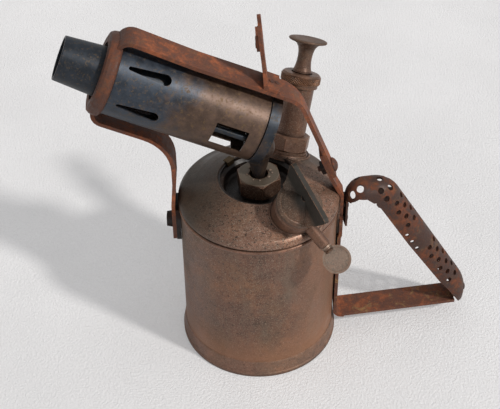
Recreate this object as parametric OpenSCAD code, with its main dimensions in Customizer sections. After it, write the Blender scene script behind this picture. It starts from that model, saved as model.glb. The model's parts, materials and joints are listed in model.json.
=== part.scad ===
// Paraffin blow lamp with a hand pump, wing-nut filler, soldering-iron rest and perforated grip.
// Units are millimetres, +Z is up, the origin is the centre of the tank's foot on the bench
// and +X points towards the handle. The burner points towards -X.

/* [View] */
// Which piece to show, or all of them

/* [Tank] */
// Outside radius of the tank wall
tank_r = 47.5; // [46.5:0.5:48.5]
// Height of the seam between the tank wall and the dome
seam_z = 105; // [104:0.5:106]
// Sheet thickness of the tank
tank_wall = 1.1; // [0.9:0.1:1.3]
// Outside radius of the rolled foot
foot_r = 49.5; // [49:0.25:50]
// Radius of the priming cup rim
cup_r = 24; // [23.5:0.25:24.5]

/* [Burner] */
// Height at which the burner axis crosses the tank axis
burner_z = 162; // [160:0.5:164]
// Upward tilt of the burner
burner_tilt = 23.5; // [22:0.5:25]
// Turn of the burner about the tank axis
burner_turn = 1; // [0:0.5:2]
// Outside radius of the wind shield
sheath_r = 21.7; // [21.4:0.1:22]
// Sheet thickness of the wind shield
sheath_wall = 0.9; // [0.8:0.1:1.2]
// Length of the wind shield
sheath_len = 87.8; // [87.2:0.2:88]
// Number of teardrop draught slots round the shield
slot_count = 6; // [4:1:6]
// Outside radius of the flame tube at its mouth
mouth_r = 12.5; // [12:0.25:13]

/* [Pump] */
// Lean of the pump away from upright
pump_lean = 25; // [24:0.5:26]
// Outside radius of the pump barrel
pump_r = 9.3; // [9.2:0.1:9.5]
// Outside radius of the knurled pump cap
pump_cap_r = 11.7; // [11.5:0.1:12]
// How far the pump barrel reaches into the tank
pump_depth = 46; // [44:1:48]

/* [Filler] */
// Lean of the filler away from upright
filler_lean = 30; // [29:0.5:31]
// Outside radius of the filler cap
filler_r = 13.9; // [13.6:0.1:14.2]
// Length of the wing across the filler cap
wing_len = 38.5; // [35:0.5:39]
// Height of the wing above the filler cap
wing_h = 17.5; // [15:0.5:18]

/* [Handle] */
// Turn of the handle about its fixing
handle_turn = 9.5; // [8:0.5:11]
// Width of the flat handle strap
strap_w = 16.6; // [15.8:0.2:16.6]
// Outside radius of the folded grip
grip_r = 9.7; // [9.5:0.1:9.9]
// Sheet thickness of the grip
grip_wall = 1.2; // [1:0.1:1.3]
// Diameter of the holes in the grip
grip_hole = 3.5; // [3:0.1:4]

/* [Iron rest] */
// Width of the rest frame strap
rest_w = 16.5; // [15:0.5:17]
// Thickness of the rest frame strap
rest_t = 2.2; // [2:0.1:2.4]
// Height of the forked upright
fork_h = 38.5; // [36.5:0.5:39.5]

/* [Hidden] */
$fn = 64;
eps = 0.01;
body_r = tank_r;
cup_floor = 111.5;
nut_z = 115;
nut_top = 126;
side_x = 49.2;
lug_z = 84;
rivet_z = [91, 101];
ring_s = 88.1;
fork_lean = 5.6;
leg_a = 21.7;
bend_r = 21.8;
low_r = 25;
pump_x = 17.1;
pump_y = 31;
pump_zz = 118.2;
pump_az = 64.5;
pump_bore = pump_r - 0.8;
fill_az = -56;
fill_rad = 34.2;
fill_z = 118.4;
wing_phi = 90.5;
rel_phi = 78.5;
rel_h = 6;
foot_s = [1.8, 5.3];
leg_x = -49.95;
leg_in = 1.4;
line_a = 58.8;
line_l = 90;
tail_c = [20 + (18.2 - 32) * sin(line_a) + line_l * cos(line_a),
    100.3 + (18.2 - 32) * cos(line_a) - line_l * sin(line_a)];

function arc(cx, cy, r, a0, a1, n) = [for (i = [0 : n])
    [cx + r * cos(a0 + (a1 - a0) * i / n), cy + r * sin(a0 + (a1 - a0) * i / n)]];
function rev(v) = [for (i = [len(v) - 1 : -1 : 0]) v[i]];

// a point given along (s) and above (t) the burner axis, as X and Z
function bp(s, t) = [-s * cos(burner_tilt) + t * sin(burner_tilt),
    burner_z + s * sin(burner_tilt) + t * cos(burner_tilt)];
function barc(s0, t0, r, a0, a1, n) = [for (i = [0 : n])
    bp(s0 + r * cos(a0 + (a1 - a0) * i / n), t0 + r * sin(a0 + (a1 - a0) * i / n))];
low_x = leg_x + leg_in - rest_t - low_r;
low_t = (low_x + low_r * sin(burner_tilt)) * sin(burner_tilt)
    + (135 + low_r * cos(burner_tilt) - burner_z) * cos(burner_tilt);
bend_c = bp(-4, 28.2 - bend_r);
function leg_pt(l, d) = [bend_c[0] + (bend_r - d) * cos(leg_a) + l * sin(leg_a),
    bend_c[1] + (bend_r - d) * sin(leg_a) - l * cos(leg_a)];

// ---------- placing helpers ----------

module at_burner() {
    translate([0, 0, burner_z])
        rotate([0, 0, burner_turn])
            rotate([0, burner_tilt - 90, 0])
                children();
}

module at_pump() {
    translate([pump_x, pump_y, pump_zz])
        rotate([0, pump_lean, pump_az])
            children();
}

module at_filler() {
    translate([fill_rad * cos(fill_az), fill_rad * sin(fill_az), fill_z])
        rotate([0, filler_lean, fill_az])
            children();
}

// local +X runs outwards and down from the filler, local +Z along its axis
module at_release() {
    at_filler()
        translate([0, 0, rel_h])
            rotate([0, 0, 90 - rel_phi])
                rotate([0, 90, 0])
                    children();
}

module at_handle() {
    translate([side_x, 0, 0])
        rotate([0, 0, handle_turn])
            children();
}

module at_rest() {
    rotate([0, 0, burner_turn])
        children();
}

// local +Z points out of the rest frame at its bolted joint
module at_joint() {
    at_rest()
        translate([leg_pt(46, 0)[0], 0, leg_pt(46, 0)[1]])
            rotate([0, 90 - leg_a, 0])
                children();
}

// local +Z runs up the forked upright, local +X towards the pump
module at_fork() {
    at_rest()
        translate([bp(9.5, 28.25)[0] + 0.5, 0, bp(9.5, 28.25)[1]])
            rotate([0, -fork_lean, 0])
                children();
}

// a flat plate drawn in the XZ plane and given a width along Y
module slab(w) {
    translate([0, w / 2, 0])
        rotate([90, 0, 0])
            linear_extrude(w)
                children();
}

// hexagon with both rims chamfered
module hex_nut(across, h, cham) {
    intersection() {
        cylinder(d = across, h = h, $fn = 6);
        rotate_extrude()
            polygon([[0, 0], [across / 2 - cham * 1.6, 0], [across / 2 + 0.1, cham],
                [across / 2 + 0.1, h - cham], [across / 2 - cham * 1.6, h], [0, h]]);
    }
}

// ---------- tank ----------

module tank_body() {
    color("#7a5f4c")
        rotate_extrude($fn = 96)
            polygon([[body_r - tank_wall, 7.2], [body_r, 7.2], [body_r, seam_z - 1.2],
                [body_r + 0.25, seam_z - 0.6], [body_r + 0.25, seam_z],
                [body_r - tank_wall, seam_z]]);
}

module tank_base() {
    color("#6e5644")
        rotate_extrude($fn = 96)
            polygon([[0, 5], [38, 3.6], [45.2, 3.2], [46.6, 0], [foot_r - 0.5, 0],
                [foot_r, 0.5], [foot_r, 2.5], [foot_r - 0.5, 3.2], [foot_r - 0.9, 7.5],
                [body_r + 0.55, 11.2], [body_r + 0.05, 12.2], [body_r + 0.05, 7.1],
                [45.6, 4.6], [38, 4.9], [0, 6.3]]);
}

// the outer form of the pump's flange and barrel, cut from what they are soldered into
module pump_seat() {
    at_pump() {
        translate([0, 0, -14])
            cylinder(r = pump_r + 0.02, h = 14);
        translate([0, 0, -3.2])
            cylinder(r1 = 14.3, r2 = 13.1, h = 3.2);
        translate([0, 0, -3.2])
            cylinder(r = 12.4, h = 12);
    }
}

// the outer form of the filler's neck and of its release barrel
module filler_seat() {
    at_filler() {
        translate([0, 0, -10])
            cylinder(r = 9.52, h = 12);
        rotate_extrude()
            polygon([[0, -1.6], [11.4, -1.6], [12.9, 0.2], [13.1, 2], [13.1, 12], [0, 12]]);
    }
    at_release()
        translate([0, 0, 10])
            cylinder(r = 3.62, h = 16);
}

module tank_dome() {
    color("#76604a")
        difference() {
            rotate_extrude($fn = 96)
                polygon(concat([[body_r - 2.2, seam_z + 0.05], [body_r - 0.1, seam_z + 0.05]],
                    arc(body_r - 0.35, seam_z + 0.75, 0.75, -60, 70, 5),
                    [[body_r - 0.7, seam_z + 1.7], [body_r - 0.3, seam_z + 2.4]],
                    arc(43.6, 109.3, 4.8, -12, 62, 8),
                    [[42.2, 115.2], [38, 117.4], [33, 119.5], [28, 121.3], [25.2, 122.3]],
                    arc(24.7, 122, 0.7, 60, 180, 4),
                    [[24, 119], [25.2, 119], [25.4, 120.9], [28, 120], [33, 118.1],
                    [38, 116], [42, 113.9], [45.4, 112.4], [47, 109.5], [46.4, 107.4]]));
            pump_seat();
            filler_seat();
        }
}

module priming_cup() {
    color("#3a332c")
        difference() {
            rotate_extrude($fn = 96)
                polygon([[7.6, cup_floor], [20.2, cup_floor], [21.8, cup_floor + 1.6],
                    [cup_r - 1.9, cup_floor + 6.5], [cup_r - 0.05, cup_floor + 8],
                    [cup_r - 0.05, 122.2], [cup_r - 0.9, 122.2], [cup_r - 0.9, cup_floor + 8.6],
                    [cup_r - 2.8, cup_floor + 7], [21, cup_floor + 2.2], [19.8, cup_floor + 1],
                    [7.6, cup_floor + 1]]);
            pump_seat();
            filler_seat();
        }
}

module cup_tab() {
    color("#8c6a3e")
        rotate([0, 0, 139])
            slab(5.4)
                polygon([[21.95, 120.2], [22.85, 120.2], [22.85, 122.75], [25.9, 123.1],
                [25.7, 124], [21.95, 123.5]]);
}

// ---------- burner ----------

module burner_socket() {
    color("#4d4034")
        rotate_extrude()
            polygon([[4.7, 106], [7.55, 106], [7.55, cup_floor + 1.05], [11.6, cup_floor + 1.05],
                [11.6, nut_z - 0.05], [6.6, nut_z - 0.05], [6.6, 117.4], [4.7, 117.4]]);
}

module burner_nut() {
    color("#8a5a3a")
        translate([0, 0, nut_z])
            rotate([0, 0, -20])
                difference() {
                    hex_nut(27.4, nut_top - nut_z, 1.3);
                    translate([0, 0, -1])
                        cylinder(r = 6.65, h = 7.2);
                    translate([0, 0, 5])
                        cylinder(r = 5.7, h = 12);
                }
}

module burner_neck() {
    color("#2f3238")
        difference() {
            union() {
                translate([0, 0, 117.5])
                    cylinder(r = 6.5, h = 3.6);
                translate([0, 0, 121])
                    cylinder(r = 3.9, h = 5);
                translate([0, 0, 126])
                    cylinder(r1 = 3.9, r2 = 8.2, h = 21);
                translate([1.5, 0, 146])
                    sphere(r = 8);
            }
            at_burner()
                translate([0, 0, -5.45])
                    cylinder(r = 30, h = 60);
            translate([0, 0, 117])
                cylinder(r = 1.8, h = 34);
        }
}

module back_plate() {
    color("#2d3644")
        at_burner()
            union() {
                difference() {
                    translate([0, 0, -5.4])
                        cylinder(r = 22.6, h = 5.9, $fn = 96);
                    translate([0, 0, -1.2])
                        cylinder(r = 19.4, h = 3);
                }
                translate([0, 0, -1.3])
                    cylinder(r = 7, h = 9);
                translate([0, 0, -7])
                    cylinder(r = 6, h = 2);
            }
}

module teardrop() {
    translate([-61.8, 0])
        circle(r = 3.2, $fn = 24);
    translate([-81.6, 0])
        circle(r = 1.15, $fn = 24);
    polygon([[-62.1, -3.18], [-81.7, -1.14], [-81.7, 1.14], [-62.1, 3.18]]);
}

module burner_sheath() {
    color("#4d5158")
        at_burner()
            difference() {
                rotate_extrude($fn = 96)
                    polygon([[sheath_r - 0.3 - sheath_wall, 0.8], [sheath_r - 0.3, 0.8],
                        [sheath_r, 12], [sheath_r, sheath_len], [sheath_r - sheath_wall, sheath_len],
                        [sheath_r - sheath_wall, 12]]);
                for (i = [0 : slot_count - 1])
                    rotate([0, 0, -37.5 + i * 360 / slot_count])
                        rotate([0, 90, 0])
                            translate([0, 0, 15])
                                linear_extrude(10)
                                    teardrop();
                for (a = [-92, 92])
                    rotate([0, 0, a])
                        translate([12, -7.3, 8.6])
                            cube([14, 14.6, 19]);
                rotate([0, 0, 180])
                    translate([12, -4.6, 8.6])
                        cube([14, 9.2, 21]);
            }
}

module front_plate() {
    color("#30353d")
        at_burner()
            difference() {
                translate([0, 0, ring_s - 3])
                    cylinder(r = sheath_r - sheath_wall - 0.02, h = 1.6, $fn = 96);
                translate([0, 0, ring_s - 4])
                    cylinder(r = 14.5, h = 4);
            }
}

module flame_tube() {
    color("#2b303a")
        at_burner()
            rotate_extrude($fn = 96)
                polygon([[13, 40], [14.3, 40], [14.48, 42], [14.48, 92], [mouth_r + 0.15, 117.4],
                    [mouth_r, 117.9], [mouth_r - 1.2, 117.9], [mouth_r - 1.2, 117.4],
                    [13.1, 92], [13.1, 42]]);
}

module jet() {
    color("#a5823f")
        at_burner()
            difference() {
                union() {
                    translate([0, 0, 7.75])
                        hex_nut(9, 4, 0.5);
                    translate([0, 0, 11.7])
                        cylinder(r1 = 3.2, r2 = 1.4, h = 5);
                }
                translate([0, 0, 7])
                    cylinder(r = 0.5, h = 12);
            }
}

module vaporiser_loop() {
    color("#5a4a3a")
        at_burner() {
            for (s = [-1, 1]) {
                translate([0, s * 16.9, -1.15])
                    cylinder(r = 2, h = 37.15);
                translate([0, s * 16.9, 36])
                    sphere(r = 2.15);
            }
            translate([0, 0, 36])
                rotate([0, 0, -90])
                    rotate_extrude(angle = 180)
                        translate([16.9, 0])
                            circle(r = 2);
        }
}

module feed_tube() {
    color("#8b6b45")
        difference() {
            translate([0, 0, 24])
                cylinder(r = 4.65, h = 88);
            translate([0, 0, 23])
                cylinder(r = 3.75, h = 90);
            for (z = [34 : 14 : 90])
                translate([-8, 0, z])
                    rotate([0, 90, 0])
                        cylinder(r = 1.3, h = 16);
        }
}

module wick() {
    color("#cfc6ae")
        translate([0, 0, 10.5])
            cylinder(r = 3.6, h = 104);
}

// ---------- pump ----------

module pump_flange() {
    color("#57504a")
        at_pump()
            difference() {
                union() {
                    translate([0, 0, -3.2])
                        cylinder(r = 12.4, h = 5.2);
                    translate([0, 0, -3.2])
                        cylinder(r1 = 14.3, r2 = 13.1, h = 3.2);
                }
                translate([0, 0, -6])
                    cylinder(r = pump_r + 0.03, h = 12);
            }
}

module pump_base_nut() {
    color("#7d5a3f")
        at_pump()
            translate([0, 0, 2.05])
                rotate([0, 0, 13])
                    difference() {
                        hex_nut(27.6, 9.4, 1.3);
                        translate([0, 0, -1])
                            cylinder(r = pump_r + 0.02, h = 12);
                    }
}

module pump_barrel() {
    color("#6b5c4c")
        at_pump()
            difference() {
                translate([0, 0, -pump_depth])
                    cylinder(r = pump_r, h = pump_depth + 43.4);
                translate([0, 0, -pump_depth + 2.4])
                    cylinder(r = pump_bore, h = pump_depth + 50);
                translate([0, 0, -pump_depth - 1])
                    cylinder(r = 3.2, h = 4);
            }
}

module pump_cap() {
    color("#5c5148")
        at_pump()
            difference() {
                union() {
                    translate([0, 0, 41.4])
                        cylinder(r = pump_cap_r - 0.7, h = 2.4);
                    translate([0, 0, 43.6])
                        cylinder(r = pump_cap_r, h = 5);
                    translate([0, 0, 48.6])
                        cylinder(r1 = pump_cap_r, r2 = pump_cap_r - 0.9, h = 0.9);
                }
                translate([0, 0, 41])
                    cylinder(r = pump_r + 0.03, h = 2.42);
                translate([0, 0, 40])
                    cylinder(r = 2.48, h = 12);
                translate([0, 0, 48.5])
                    cylinder(r = 6.4, h = 3);
            }
}

module pump_knob() {
    color("#6a5444")
        at_pump()
            difference() {
                rotate_extrude()
                    polygon(concat([[0, 48.9], [5.1, 48.9], [5.6, 49.9], [5.5, 51]],
                        [[4.9, 53], [4.4, 56], [4.3, 59], [4.5, 62], [5.2, 64.8], [6.6, 66.8],
                        [8.6, 68], [10.8, 68.5]],
                        arc(10.9, 69.25, 0.7, -80, 80, 5),
                        [[9, 70.1], [5, 69.7], [0, 69.5]]));
                translate([0, 0, 48])
                    cylinder(r = 2.42, h = 10);
            }
}

module pump_rod() {
    color("#8a8078")
        at_pump()
            translate([0, 0, -39])
                cylinder(r = 2.4, h = 96.9);
}

module pump_piston() {
    color("#8d7a4a")
        at_pump()
            difference() {
                union() {
                    translate([0, 0, -34])
                        cylinder(r = 7.6, h = 2.4);
                    translate([0, 0, -39.4])
                        cylinder(r = 6.4, h = 2.2);
                    translate([0, 0, -40.9])
                        hex_nut(8, 1.6, 0.3);
                }
                translate([0, 0, -39])
                    cylinder(r = 2.42, h = 12);
            }
}

module pump_leather() {
    color("#3d2c1f")
        at_pump()
            rotate_extrude()
                polygon([[2.45, -37.1], [6.9, -37.1], [7.1, -37.9], [7.2, -41.6], [pump_bore - 0.06, -41.6],
                    [pump_bore - 0.06, -35.2], [7.6, -34.1], [2.45, -34.1]]);
}

module valve_body() {
    color("#98793f")
        at_pump()
            difference() {
                union() {
                    translate([0, 0, -pump_depth - 3])
                        cylinder(r = 6.4, h = 2.95);
                    translate([0, 0, -pump_depth - 0.1])
                        cylinder(r = 3.15, h = 3);
                    translate([0, 0, -pump_depth - 11])
                        cylinder(r = 4.2, h = 8.1);
                }
                translate([0, 0, -pump_depth - 10])
                    cylinder(r = 3, h = 8);
                translate([0, 0, -pump_depth - 3])
                    cylinder(r = 1.1, h = 8);
                translate([0, 0, -pump_depth - 12])
                    cylinder(r = 1.4, h = 4);
            }
}

module valve_pip() {
    color("#4a3a2c")
        at_pump()
            union() {
                translate([0, 0, -pump_depth - 4.7])
                    cylinder(r = 2.6, h = 2.6);
                translate([0, 0, -pump_depth - 6.2])
                    cylinder(r = 1.1, h = 1.6);
            }
}

module valve_spring() {
    color("#9a9a96")
        at_pump()
            translate([0, 0, -pump_depth - 9.6])
                for (i = [0 : 7]) {
                    translate([0, 0, i * 0.57 + 0.285])
                        rotate([0, (i % 2 == 0) ? 8.1 : -8.1, 0])
                            rotate([0, 0, (i % 2) * 180])
                                rotate_extrude(angle = 180)
                                    translate([2, 0])
                                        circle(r = 0.25, $fn = 16);
                    translate([(i % 2 == 0) ? 2 : -2, 0, i * 0.57])
                        sphere(r = 0.28, $fn = 16);
                }
}

// ---------- filler ----------

module filler_neck() {
    color("#8a6044")
        at_filler()
            difference() {
                union() {
                    translate([0, 0, -6])
                        cylinder(r = 9.5, h = 8);
                    rotate_extrude()
                        polygon([[8, 1.2], [11.4, -1.6], [12.9, 0.2], [13.1, 2], [13.1, 8.6],
                            [12.4, 10], [8, 10]]);
                }
                translate([0, 0, -7])
                    cylinder(r = 7.6, h = 18);
                rotate([0, 0, 90 - rel_phi])
                    translate([5, 0, rel_h])
                        rotate([0, 90, 0])
                            cylinder(r = 3.62, h = 9);
            }
}

module wing_half(s) {
    polygon([[0, 13], [s * 9.5, 13], [s * 12.4, 15.8], [s * 14.2, 17.4], [s * 16.6, 21.6],
        [s * (wing_len / 2), 30.6], [s * (wing_len / 2 - 0.4), 15.2 + wing_h],
        [s * (wing_len / 2 - 2.2), 15.6 + wing_h], [0, 15.6 + wing_h]]);
}

module filler_plug() {
    color("#4f4c46")
        at_filler()
            union() {
                rotate_extrude()
                    polygon([[0, -5], [7.3, -5], [7.5, -4.6], [7.5, 11.95], [filler_r - 1.2, 11.95],
                        [filler_r - 0.2, 12.4], [filler_r, 13.4], [filler_r - 0.3, 15],
                        [filler_r - 1.5, 15.9], [9, 16.9], [0, 17.6]]);
                rotate([0, 0, 90 - wing_phi])
                    intersection() {
                        slab(9)
                            union() {
                                wing_half(1);
                                wing_half(-1);
                            }
                        rotate([0, 0, 90])
                            slab(60)
                                polygon([[-4.4, 12], [4.4, 12], [4.4, 17.2], [2.2, 19.5],
                                    [1.6, 22], [1.5, 34], [-1.5, 34], [-1.6, 22],
                                    [-2.2, 19.5], [-4.4, 17.2]]);
                    }
            }
}

module filler_gasket() {
    color("#241f1c")
        at_filler()
            difference() {
                translate([0, 0, 10.05])
                    cylinder(r = 12.2, h = 1.8);
                translate([0, 0, 9])
                    cylinder(r = 7.6, h = 4);
            }
}

module release_barrel() {
    color("#7a5840")
        at_release()
            difference() {
                union() {
                    translate([0, 0, 10])
                        cylinder(r = 3.6, h = 15.6);
                    translate([0, 0, 25.6])
                        cylinder(r1 = 3.6, r2 = 3, h = 1.2);
                }
                translate([0, 0, 9])
                    cylinder(r = 1.9, h = 20);
            }
}

module release_screw() {
    color("#7d7468")
        at_release()
            union() {
                translate([0, 0, 12])
                    cylinder(r1 = 0.4, r2 = 1.8, h = 2.6);
                translate([0, 0, 14.6])
                    cylinder(r = 1.8, h = 13);
                translate([0, 0, 27.1])
                    cylinder(r1 = 3, r2 = 2.2, h = 3.6);
                translate([0, 0, 36.5])
                    rotate([0, 0, 117])
                        translate([0, 1.1, 0])
                            rotate([90, 0, 0])
                                difference() {
                                    cylinder(r = 8.2, h = 2.2);
                                    translate([0, 0, 1.9])
                                        cylinder(r = 7, h = 1);
                                    translate([0, 0, -0.7])
                                        cylinder(r = 7, h = 1);
                                }
            }
}

// ---------- lugs and their fixings ----------

module left_lug() {
    color("#2a2622")
        at_rest()
            difference() {
                translate([-49.9, -8.2, 81.3])
                    cube([3.4, 16.4, 23.2]);
                translate([0, 0, 70])
                    cylinder(r = body_r + 0.28, h = 50, $fn = 96);
                translate([0, 0, 103.4])
                    cylinder(r = body_r + 1.05, h = 20, $fn = 96);
                translate([-60, -0.5, 91.5])
                    rotate([0, 90, 0])
                        cylinder(r = 2.13, h = 20);
            }
}

module left_bolt() {
    color("#332a24")
        at_rest()
            translate([leg_x - rest_t - 0.1, -0.5, 91.5])
                rotate([0, -90, 0]) {
                    intersection() {
                        rotate([0, 0, 8])
                            translate([-3.7, -3.7, 0])
                                cube([7.4, 7.4, 3.6]);
                        cylinder(r1 = 5.2, r2 = 4.5, h = 3.6);
                    }
                    translate([0, 0, -rest_t - 2.1])
                        cylinder(r = 2.1, h = rest_t + 2.2);
                }
}

module rivet_holes() {
    for (z = rivet_z)
        translate([44, 0, z])
            rotate([0, 90, 0])
                cylinder(r = 1.53, h = 16);
}

module right_lug() {
    color("#7f7a4e")
        difference() {
            translate([46.6, -7, lug_z])
                cube([2, 14, 24]);
            translate([0, 0, 70])
                cylinder(r = body_r + 0.28, h = 50, $fn = 96);
            translate([0, 0, 103.4])
                cylinder(r = body_r + 1.05, h = 20, $fn = 96);
            rivet_holes();
        }
}

module right_rivets() {
    color("#4a2f22")
        for (z = rivet_z)
            translate([47.85, 0, z])
                rotate([0, 90, 0]) {
                    cylinder(r = 1.5, h = 5.6);
                    translate([0, 0, 5.55])
                        rotate_extrude()
                            polygon(concat([[0, 0]], arc(0, -3.4, 4.4, 50.7, 90, 5)));
                }
}

// ---------- handle ----------

module handle_strap() {
    color("#6f4a34")
        difference() {
            union() {
                slab(strap_w)
                    polygon(concat([[48.65, 95.8], [48.65, 83.6], [47.95, 81.6]],
                        arc(53.35, 16.7, 5.4, 180, 262, 8), [[55, 11.26], [55, 13.36]],
                        rev(arc(53.35, 16.7, 3.3, 180, 262, 8)),
                        [[50.05, 81], [50.65, 83.1], [50.65, 95.8]]));
                at_handle() {
                    translate([2.5, -strap_w / 2, 11.26])
                        cube([76.5, strap_w, 2.1]);
                    translate([78.9, -3.5, 11.26])
                        cube([5.5, 7, 2.1]);
                    translate([82.3, -3.5, 11.26])
                        cube([2.1, 7, 11]);
                }
            }
            rivet_holes();
            at_handle()
                translate([80, 0, 17.3])
                    rotate([0, 90, 0])
                        cylinder(r = 1.53, h = 10);
        }
}

module grip_section(depth) {
    difference() {
        union() {
            translate([-grip_r, 0])
                circle(r = grip_r, $fn = 64);
            translate([-depth, -grip_r])
                square([depth - grip_r + eps, 2 * grip_r]);
        }
        translate([-grip_r, 0])
            circle(r = grip_r - grip_wall, $fn = 64);
        translate([-depth - 10, -grip_r + grip_wall])
            square([depth - grip_r + 10 + eps, 2 * (grip_r - grip_wall)]);
        translate([-depth - 20, -20])
            square([20, 40]);
    }
}

module grip_turn(cx, cz, r, a0, a1, depth) {
    translate([cx, 0, cz])
        rotate([90, 0, 0])
            rotate([0, 0, a0])
                rotate_extrude(angle = a1 - a0, $fn = 96)
                    translate([r, 0])
                        grip_section(depth);
}

// one hole looking straight out of the grip at angle a round it
module grip_punch(a, d) {
    rotate([a, 0, 0])
        translate([0, 0, 6])
            cylinder(d = d, h = 6, $fn = 24);
}

// local +X runs down the straight of the grip, local +Z out of its crown
module at_grip_line() {
    translate([20 + 18.2 * sin(line_a), 0, 100.3 + 18.2 * cos(line_a)])
        rotate([0, line_a, 0])
            children();
}

module grip_holes() {
    at_grip_line()
        translate([0, 0, -grip_r]) {
            for (i = [0 : 3])
                for (a = (i % 2 == 0) ? [-62, -22, 22, 62] : [-77, -40, 0, 40, 77])
                    translate([3 + i * 6.6, 0, 0])
                        grip_punch(a, grip_hole);
            for (i = [0 : 5])
                for (a = (i % 2 == 0) ? [-62, -22, 22, 62] : [-77, -40, 0, 40, 77])
                    translate([50 + i * 6.8, 0, 0])
                        grip_punch(a, grip_hole);
            for (x = [30, 37, 44])
                for (a = [-90, 90])
                    translate([x, 0, -2])
                        grip_punch(a, 2.6);
        }
    for (b = [10, 32])
        for (a = (b == 10) ? [-50, 0, 50] : [-75, -30, 30, 75])
            translate([20, 0, 100.3])
                rotate([0, b, 0])
                    translate([0, 0, 18.2 - grip_r])
                        grip_punch(a, 4);
    for (b = [-58, -24])
        for (y = [-4.6, 4.6])
            translate([14.5, y, 106.5])
                rotate([0, b, 0])
                    cylinder(d = 4.6, h = 16, $fn = 24);
}

// a straight length of the folded section, running along local +X with its crown up
module grip_run(l, depth) {
    rotate([0, 90, 0])
        rotate([0, 0, 180])
            linear_extrude(l)
                grip_section(depth);
}

module handle_grip() {
    color("#6a4030")
        difference() {
            at_handle()
                difference() {
                    union() {
                        translate([2.5, -5, 87.5])
                            cube([grip_wall, 10, 19]);
                        grip_turn(14.5, 106.5, 12, 90, 180, 11.2);
                        translate([14.5, 0, 118.5])
                            grip_run(5.5, 11.2);
                        grip_turn(20, 100.3, 18.2, 90 - line_a, 90, 14.6);
                        at_grip_line()
                            grip_run(line_l, 14.6);
                        grip_turn(tail_c[0], tail_c[1], 32, -9, 90 - line_a, 14.6);
                    }
                    slab(40)
                        polygon([[3.7, 80], [3.7, 102.5], [5.2, 107.4], [9.2, 110.8], [14, 110.8],
                            [19.7, 106], [28, 92.5], [40.4, 73.3], [53.4, 53.4], [66.1, 34],
                            [73.8, 23.9], [79.3, 15.7], [82.2, 10.6], [95, 10.6], [95, 2],
                            [20, 2], [20, 60]]);
                    grip_holes();
                    translate([80, 0, 17.3])
                        rotate([0, 90, 0])
                            cylinder(r = 1.53, h = 10);
                }
            rivet_holes();
        }
}

module grip_rivet() {
    color("#5a3626")
        at_handle()
            translate([82.35, 0, 17.3])
                rotate([0, 90, 0]) {
                    cylinder(r = 1.5, h = 4.6);
                    translate([0, 0, 4.5])
                        rotate_extrude()
                            polygon(concat([[0, 0]], arc(0, -3.4, 4.4, 50.7, 90, 5)));
                }
}

// ---------- soldering-iron rest ----------

// strap from the left lug, under the burner, up the ring and back over the top
module rest_strap() {
    color("#7a4a30")
        difference() {
            union() {
                at_rest()
                    slab(rest_w)
                        polygon(concat([[leg_x - rest_t, 82], [leg_x - rest_t, 108],
                            [leg_x + leg_in - rest_t, 124]],
                            arc(low_x, 135, low_r, 0, 90 - burner_tilt, 8),
                            barc(ring_s - 4.1, low_t + 8, 8, -90, 0, 6),
                            [bp(ring_s + 3.9, -19), bp(ring_s + 3.9 - rest_t, -19)],
                            rev(barc(ring_s - 4.1, low_t + 8, 8 - rest_t, -90, 0, 6)),
                            rev(arc(low_x, 135, low_r + rest_t, 0, 90 - burner_tilt, 8)),
                            [[leg_x + leg_in, 124], [leg_x, 108], [leg_x, 82]]));
                intersection() {
                    at_rest()
                        slab(rest_w)
                            polygon(concat([bp(ring_s + 3.9, 19)],
                                barc(ring_s - 4.1, 21, 8, 0, 90, 6), [bp(48, 27.7), bp(12, 28.2)],
                                arc(bend_c[0], bend_c[1], bend_r, 90 - burner_tilt, leg_a, 8),
                                [leg_pt(52, 0), leg_pt(52, rest_t)],
                                rev(arc(bend_c[0], bend_c[1], bend_r - rest_t,
                                    90 - burner_tilt, leg_a, 8)),
                                [bp(12, 28.2 - rest_t), bp(48, 27.7 - rest_t)],
                                rev(barc(ring_s - 4.1, 21, 8 - rest_t, 0, 90, 6)),
                                [bp(ring_s + 3.9 - rest_t, 19)]));
                    at_rest()
                        linear_extrude(300)
                            polygon([[-130, -10], [11, -10], [15, -rest_w / 2], [27, -4.8],
                                [60, -4.8], [60, 4.8], [27, 4.8], [15, rest_w / 2], [11, 10],
                                [-130, 10]]);
                }
                at_burner()
                    rotate_extrude($fn = 96)
                        polygon([[16.5, ring_s], [22.6, ring_s], [23.8, ring_s + 1.2],
                            [24.1, ring_s + 3], [23.7, ring_s + 5.4], [22.6, ring_s + 7],
                            [20.3, ring_s + 7.7], [16.5, ring_s + 7.4]]);
            }
            at_rest()
                translate([-60, -0.5, 91.5])
                    rotate([0, 90, 0])
                        cylinder(r = 2.13, h = 20);
            at_joint()
                translate([0, 0, -12])
                    cylinder(r = 1.73, h = 20);
        }
}

module rest_leg() {
    color("#74492f")
        difference() {
            at_rest()
                slab(10)
                    polygon([leg_pt(34, rest_t + 0.05), leg_pt(54, rest_t + 0.05), [50.6, 111.2],
                        [50.6, 96.2], [48.7, 96.2], [48.7, 110], leg_pt(55, rest_t + 2.1),
                        leg_pt(34, rest_t + 2.1)]);
            at_joint()
                translate([0, 0, -12])
                    cylinder(r = 1.73, h = 20);
            rivet_holes();
        }
}

module joint_bolt() {
    color("#7a4f36")
        at_joint() {
            translate([0, 0, -9])
                cylinder(r = 1.7, h = 9.2);
            translate([0, 0, 0.05])
                rotate_extrude()
                    polygon(concat([[0, 0]], [[4.3, 0]], arc(0, -2.6, 5.5, 38.6, 90, 7)));
        }
}

module joint_nut() {
    color("#2f2822")
        at_joint()
            translate([0, 0, -rest_t - 5.1])
                difference() {
                    rotate([0, 0, 12])
                        translate([-2.9, -2.9, 0])
                            cube([5.8, 5.8, 2.9]);
                    translate([0, 0, -1])
                        cylinder(r = 1.73, h = 6);
                }
}

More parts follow.
